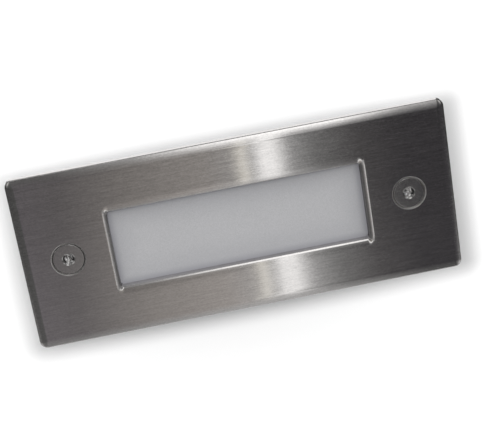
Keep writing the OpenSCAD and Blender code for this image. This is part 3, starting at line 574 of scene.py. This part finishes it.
def stamped_plate():
    """The face plate: a sheet with its edge rolled down all round, a lip rolled into the window and two
    countersunk dimples. Each is a profile carried round its outline; the flats between them are filled."""
    burr = 0.25 * MM
    turns = 12
    under_z = face_z - sheet
    edge_fall, edge_wall_z = fall(edge_reach, edge_bend, edge_tilt)
    edge = chain(
        edge_fall * (-1, 1) + (corner_r, 0),
        arc((corner_r - burr, plate_foot_z + burr), burr, 0, -90, 4),
        arc((corner_r - sheet + burr, plate_foot_z + burr), burr, -90, -180, 4),
        arc((corner_r - 2 * sheet, edge_wall_z - sheet), sheet, 0, 90, 6)[:-1],
        (corner_r - edge_reach, under_z))
    edge_path = corner_path(plate_high.x - corner_r, plate_high.y - corner_r, turns)
    lip_fall = fall(lip_reach, lip_bend, lip_tilt)[0]
    lip = chain(
        lip_fall + (window_corner_r, 0),
        arc((window_corner_r + burr, lip_foot_z + burr), burr, 180, 270, 4),
        arc((window_corner_r + sheet - burr, lip_foot_z + burr), burr, 270, 360, 4),
        (window_corner_r + sheet, under_z))
    points, normals, way = corner_path(
        window_half.x - end_squeeze * window_corner_r, window_half.y - window_corner_r, turns)
    window_path = points, normals * (end_squeeze, 1), way
    rim = 0.5 * MM
    skin_r = sink_r + sheet * math.sqrt(2)
    dimple = chain(
        arc((sink_r, face_z - rim), rim, 90, 165, 10),
        (sink_r - rim, face_z - rim),
        (sink_hole_r, face_z - (sink_r - sink_hole_r)),
        (sink_hole_r, face_z - dimple_depth),
        (skin_r - dimple_depth, face_z - dimple_depth),
        (skin_r - sheet, under_z))
    rings = [carried(edge_path, edge), carried(window_path, lip)]
    rings += [turned((side * screw_x, 0), dimple, 96) for side in (-1, 1)]
    mesh = skin("stamped_plate", rings, (face_z, under_z))
    made = piece("stamped_plate", mesh, FINISHES["face_steel"], "cover", ["face_plate"])
    # The brushing runs along X: the texture space is set far off along X, so that every tangent lies along Y
    made.data.use_auto_texspace = False
    made.data.texspace_location = (100, 0, 0)
    made.data.texspace_size = (1, 1, 1)


def thread(centre, low, high, core_r, crest_r, pitch, steps):
    """A screw thread: rows that climb one pitch a turn, with height clipped to the ends, and radius from core
    to crest as a blunted triangle of the row's place within the pitch, fading out over the last pitch."""
    per_turn = 10
    rows = int((high - low) / pitch * per_turn) + 2 * per_turn
    turn = np.linspace(0, 1, steps, endpoint=False)[:, None]
    row = np.arange(rows)[None, :]
    height = np.clip(low - pitch + (row / per_turn + turn) * pitch, low, high)
    peak = 1 - np.abs(2 * ((row / per_turn) % 1) - 1)
    ridge = np.clip(1.25 * peak - 0.1, 0, 1)
    fade = np.clip(np.minimum(height - low, high - height) / (0.8 * pitch), 0, 1)
    radius = core_r + (crest_r - core_r) * ridge * fade
    angle = math.tau * turn
    grid = np.stack([centre[0] + radius * np.cos(angle), centre[1] + radius * np.sin(angle), height], -1)
    i, j = np.meshgrid(np.arange(steps), np.arange(rows - 1), indexing="ij")
    following = (i + 1) % steps
    climb = np.where(i == steps - 1, per_turn, 0)
    near, far = j + climb, j + 1 + climb
    kept = far < rows
    quads = np.stack([i * rows + j, following * rows + near, following * rows + far, i * rows + j + 1], -1)
    return grid, quads[kept]


def socket_screw(side, centre_x, turn_deg):
    """A countersunk socket screw: tip, thread, neck, cone and head turned round its axis, and a hexagon
    socket whose radius is half its width over the cosine of the angle from the nearest flat. Its bottom
    slopes in six facets to the cone of a drill. The hexagon has come to rest turned by turn_deg."""
    steps = 96
    centre = (centre_x, 0)
    half_flat = 2 * MM
    mouth_r = 2.55 * MM
    mouth_slope = 35
    drill_r = 0.9 * MM
    socket_z = head_z - socket_depth
    cone_z = socket_z - 0.25 * MM
    point_z = socket_z - 1.1 * MM
    core_r = 2.42 * MM
    land = 0.35 * MM
    round_r = 0.2 * MM
    tip_height = 0.7 * MM
    thread_length = 6 * MM
    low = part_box(f"{side}_screw")[0]
    thread_low = low.z + tip_height
    thread_high = thread_low + thread_length
    tip = turned(centre, chain((0, low.z), (core_r - 0.5 * MM, low.z), (core_r, thread_low)), steps)
    shank = turned(centre, chain(
        (core_r, thread_high), (neck_r, thread_high + 0.1 * MM), (neck_r, head_z - land - (head_r - neck_r)),
        (head_r - 0.05 * MM, head_z - land), arc((head_r - round_r, head_z - round_r), round_r, 0, 90, 6),
        (4 * MM, head_z), (mouth_r, head_z)), steps)
    angle = np.linspace(0, math.tau, steps, endpoint=False)
    normals = np.stack([np.cos(angle), np.sin(angle)], -1)
    sixth = math.tau / 6
    from_flat = angle - math.radians(turn_deg)
    flat_r = half_flat / np.cos(from_flat - sixth * np.round(from_flat / sixth))
    chamfer = (mouth_r - flat_r) * math.tan(math.radians(mouth_slope))
    rows = [(mouth_r, head_z), (flat_r, head_z - chamfer), (flat_r, socket_z),
            (drill_r, cone_z), (0, point_z)]
    socket = np.zeros((steps, len(rows), 3))
    for row, (radius, height) in enumerate(rows):
        socket[:, row, :2] = centre + np.broadcast_to(radius, steps)[:, None] * normals
        socket[:, row, 2] = height
    ridges = thread(centre, thread_low, thread_high, core_r, thread_r, thread_pitch, steps)
    mesh = skin(f"{side}_socket_screw", [tip, shank, socket], extra=[ridges])
    steel = turned_steel(f"{side}_screw_steel", SCREW_STEEL, centre_x)
    piece(f"{side}_socket_screw", mesh, steel, f"{side}_screw", [f"{side}_screw"], 22)


stamped_plate()
socket_screw("left", -screw_x, 15)
socket_screw("right", screw_x, 30)


# Studio

CAMERA_PLACE = Vector((-0.0321, 0.1885, 0.5676))
VAULT_R = 0.5
LAMP_PLACE = Vector((-0.06, 0.205, 0.57))


def grey(value):
    """A grey of this value. A colour stays as it is."""
    return value if isinstance(value, tuple) else (value, value, value)


def mirrored(x):
    """The place along X on the vault that the camera sees mirrored in the plate's point x. The vault is met a
    little below its crown, which slant allows for."""
    slant = 1.05
    return x + (x - CAMERA_PLACE.x) * VAULT_R / (CAMERA_PLACE.z - face_z) / slant


def glow(s, x, stops, strength=1.0):
    """Light whose colour changes along X through the stops, each a place on the plate that mirrors it (in
    millimetres) and a colour, or one value for a grey."""
    spots = [(mirrored(at * MM), grey(colour)) for at, colour in stops]
    low, high = spots[0][0], spots[-1][0]
    ramp = [((spot - low) / (high - low), colour) for spot, colour in spots]
    colour = s.node("ShaderNodeValToRGB", {"stops": ramp}, {0: s.step(x, low, high, form="LINEAR")})
    return s.node("ShaderNodeEmission", None, {"Color": colour, "Strength": strength})


def stage_sheet(name, corners, material, faces=((0, 1, 2, 3),)):
    """A sheet that belongs to the studio."""
    mesh = bpy.data.meshes.new(name)
    mesh.from_pydata(corners, [], faces)
    mesh.materials.append(material)
    made = bpy.data.objects.new(name, mesh)
    bpy.context.scene.collection.objects.link(made)
    return made


def only_mirrored(made):
    """Keeps a piece of the studio to reflections."""
    made.visible_camera = False
    made.visible_diffuse = False
    made.visible_shadow = False
    made.visible_transmission = False


def vault_light():
    """What the plate mirrors: a dim ceiling with a warm and a white strip of light along Y, a bright window
    low in the north, and a grey room in the south. The lean is the angle from overhead towards north."""
    s = Shader(bpy.data.materials.new("vault_light"))
    x, y, z = s.axes()
    lean = s.math("ARCTAN2", y, z - face_z) * math.degrees(1)
    ceiling_stops = [
        (-300, 0.06), (-130, 0.095), (-85, (0.148, 0.138, 0.148)), (-67, (0.14, 0.132, 0.135)),
        (-40, (0.25, 0.235, 0.225)), (-10, (0.34, 0.32, 0.305)), (10, 0.4), (24, 0.36), (34, 0.18),
        (50, (0.08, 0.0765, 0.079)), (67, (0.046, 0.044, 0.048)), (85, (0.043, 0.041, 0.045)),
        (300, (0.043, 0.041, 0.045))]
    strip_stops = [
        (0, 0), (3, (0.2, 0.19, 0.16)), (4.7, (0.68, 0.65, 0.56)), (6.2, (0.6, 0.58, 0.52)), (8.3, 0.12),
        (10, 0.33), (12.5, 0.98), (18, 0.98), (20.5, 0.45), (24.5, 0)]
    window_stops = [
        (-260, 0.7), (-180, 0.2), (-67, 0.14), (-37, 0.44), (-5, 1.45), (15, 1.65), (40, 1.6), (67, 0.6),
        (140, 0.12), (180, 0.2), (240, 0.7)]
    room_stops = [
        (-260, 0.5), (-140, 0.2), (-67, 0.32), (-5, 0.54), (15, 0.6), (40, 0.36), (67, 0.14), (110, 0.09),
        (160, 0.35), (220, 0.8)]
    ceiling = glow(s, x, ceiling_stops, s.step(lean, -16, -24, 1.0, 1.42, form="LINEAR"))
    strips = glow(s, x, strip_stops, s.step(lean, -16, -50, 1.0, 0.25, form="LINEAR"))
    window = glow(s, x, window_stops)
    room = glow(s, x, room_stops)
    northward = s.step(lean, -14, 26, form="LINEAR")
    southward = s.step(lean, -31, -60, form="LINEAR")
    lit = s.node("ShaderNodeAddShader", None, {0: ceiling, 1: strips})
    lit = s.node("ShaderNodeMixShader", None, {0: northward * northward, 1: lit, 2: window})
    s.show(s.node("ShaderNodeMixShader", None, {0: southward, 1: lit, 2: room}))
    return s.owner


def plain_light(name, strength):
    s = Shader(bpy.data.materials.new(name))
    s.show(s.node("ShaderNodeEmission", None, {"Color": (*WHITE, 1), "Strength": strength}))
    return s.owner


def level_corners(low, high, height):
    """The corners of a level rectangle."""
    return [(low[0], low[1], height), (high[0], low[1], height),
            (high[0], high[1], height), (low[0], high[1], height)]


def studio_cards():
    """What shows in reflections: a barrel vault over the plate, closed by a wall at each end, on a dim floor
    that leaves the white ground round the object free."""
    end = 0.9
    parts = 36
    angle = np.radians(np.linspace(-90, 90, parts + 1))[:, None]
    x = np.array([-end, end])[None, :]
    grid = np.stack(np.broadcast_arrays(x, VAULT_R * np.sin(angle), face_z + VAULT_R * np.cos(angle)), -1)
    first = np.arange(parts) * 2
    faces = np.stack([first, first + 1, first + 3, first + 2], -1)
    only_mirrored(stage_sheet("vault", grid.reshape(-1, 3), vault_light(), faces))
    top = face_z + VAULT_R
    for name, at, strength in (("west_wall", -end, 0.078), ("east_wall", end, 0.04)):
        corners = [(at, -VAULT_R, 0), (at, -VAULT_R, top), (at, VAULT_R, top), (at, VAULT_R, 0)]
        only_mirrored(stage_sheet(name, corners, plain_light(name, strength)))
    floor_z = 0.2 * MM
    west, east, south, north = -0.1, 0.1, -0.09, 0.1
    for name, low, high, strength in (("north_ground", (-end, north), (end, VAULT_R), 0.22),
                                      ("south_ground", (-end, -VAULT_R), (end, south), 0.42),
                                      ("west_ground", (-end, south), (west, north), 0.06),
                                      ("east_ground", (east, south), (end, north), 0.03)):
        corners = level_corners(low, high, floor_z)
        only_mirrored(stage_sheet(name, corners, plain_light(name, strength)))


def studio_floor():
    """A white floor that takes the object's soft shadow, and is lit up to pure white beyond the plate's
    shadow. The light fades in from the edges of the shadow that the lamp throws, a little moved."""
    s = Finish("floor_white", Base_Color=(0.85, 0.85, 0.85, 1), Roughness=0.9)
    fade_width = 13 * MM
    fill = 0.42
    low_shift = Vector((-1, 3.1, 0)) * MM
    high_shift = Vector((-1.2, -3.1, 0)) * MM
    seen = s.math("MAXIMUM", *s.rays("Camera", "Glossy"))
    x, y, z = s.axes()
    throw = plate_foot_z / (LAMP_PLACE.z - plate_foot_z)
    low = plate_low + (plate_low - LAMP_PLACE) * throw + low_shift
    high = plate_high + (plate_high - LAMP_PLACE) * throw + high_shift
    outside_x = s.math("MAXIMUM", s.math("MAXIMUM", low.x - x, x - high.x), 0.0)
    outside_y = s.math("MAXIMUM", s.math("MAXIMUM", low.y - y, y - high.y), 0.0)
    strength = seen * s.step(s.length(outside_x, outside_y), 0, fade_width, 0.0, fill)
    lit = s.node("ShaderNodeEmission", None, {"Color": (*WHITE, 1), "Strength": strength})
    s.show(s.node("ShaderNodeAddShader", None, {0: Socket(s, s.surface.outputs[0]), 1: lit}))
    reach = 8
    floor_z = -0.05 * MM
    stage_sheet("floor", level_corners((-reach, -reach), (reach, reach), floor_z), s.owner)


def studio_world():
    """White to the camera and in reflections; to everything else a grey sky, lighter towards the north."""
    world = bpy.data.worlds.new("studio")
    bpy.context.scene.world = world
    s = Shader(world)
    x, y, z = s.outputs(s.node("ShaderNodeSeparateXYZ", None, {0: s.node("ShaderNodeTexCoord")}))
    sky = s.mix(s.step(0.95 * y + 0.2 * x, -0.1, 0.95), grey(0.3), grey(1.85))
    to_camera, in_mirror, through_glass = s.rays("Camera", "Glossy", "Transmission")
    colour = s.mix(s.math("MINIMUM", to_camera + in_mirror + through_glass, 1.0), sky, WHITE)
    s.show(s.node("ShaderNodeBackground", None, {"Color": colour, "Strength": 1.0}))


def key_lamp():
    """A soft round lamp beside the camera, to its left."""
    light = bpy.data.lights.new("key", "AREA")
    light.shape = "DISK"
    light.size = 0.12
    light.energy = 1.1
    made = bpy.data.objects.new("key", light)
    bpy.context.scene.collection.objects.link(made)
    aim = LAMP_PLACE.to_track_quat("Z", "Y").to_matrix().to_4x4()
    made.matrix_world = Matrix.Translation(LAMP_PLACE) @ aim
    made.visible_glossy = False


def camera():
    """The photograph's view: it looks down at the plate from beyond its upper edge, a little turned. Its
    place, its axes and its lens come from the plate's corners and the screws' circles in the photograph."""
    lens = bpy.data.cameras.new("camera")
    lens.lens = 101.716
    lens.sensor_width = 36
    made = bpy.data.objects.new("camera", lens)
    bpy.context.scene.collection.objects.link(made)
    right = Vector((0.9792777, -0.1578259, 0.1269100))
    up = Vector((0.1909614, 0.9282822, -0.3191019))
    turn = Matrix((right, up, right.cross(up))).transposed()
    made.matrix_world = Matrix.Translation(CAMERA_PLACE) @ turn.to_4x4()
    bpy.context.scene.camera = made


studio_cards()
studio_floor()
studio_world()
key_lamp()
camera()
bpy.context.scene.view_settings.view_transform = "Standard"
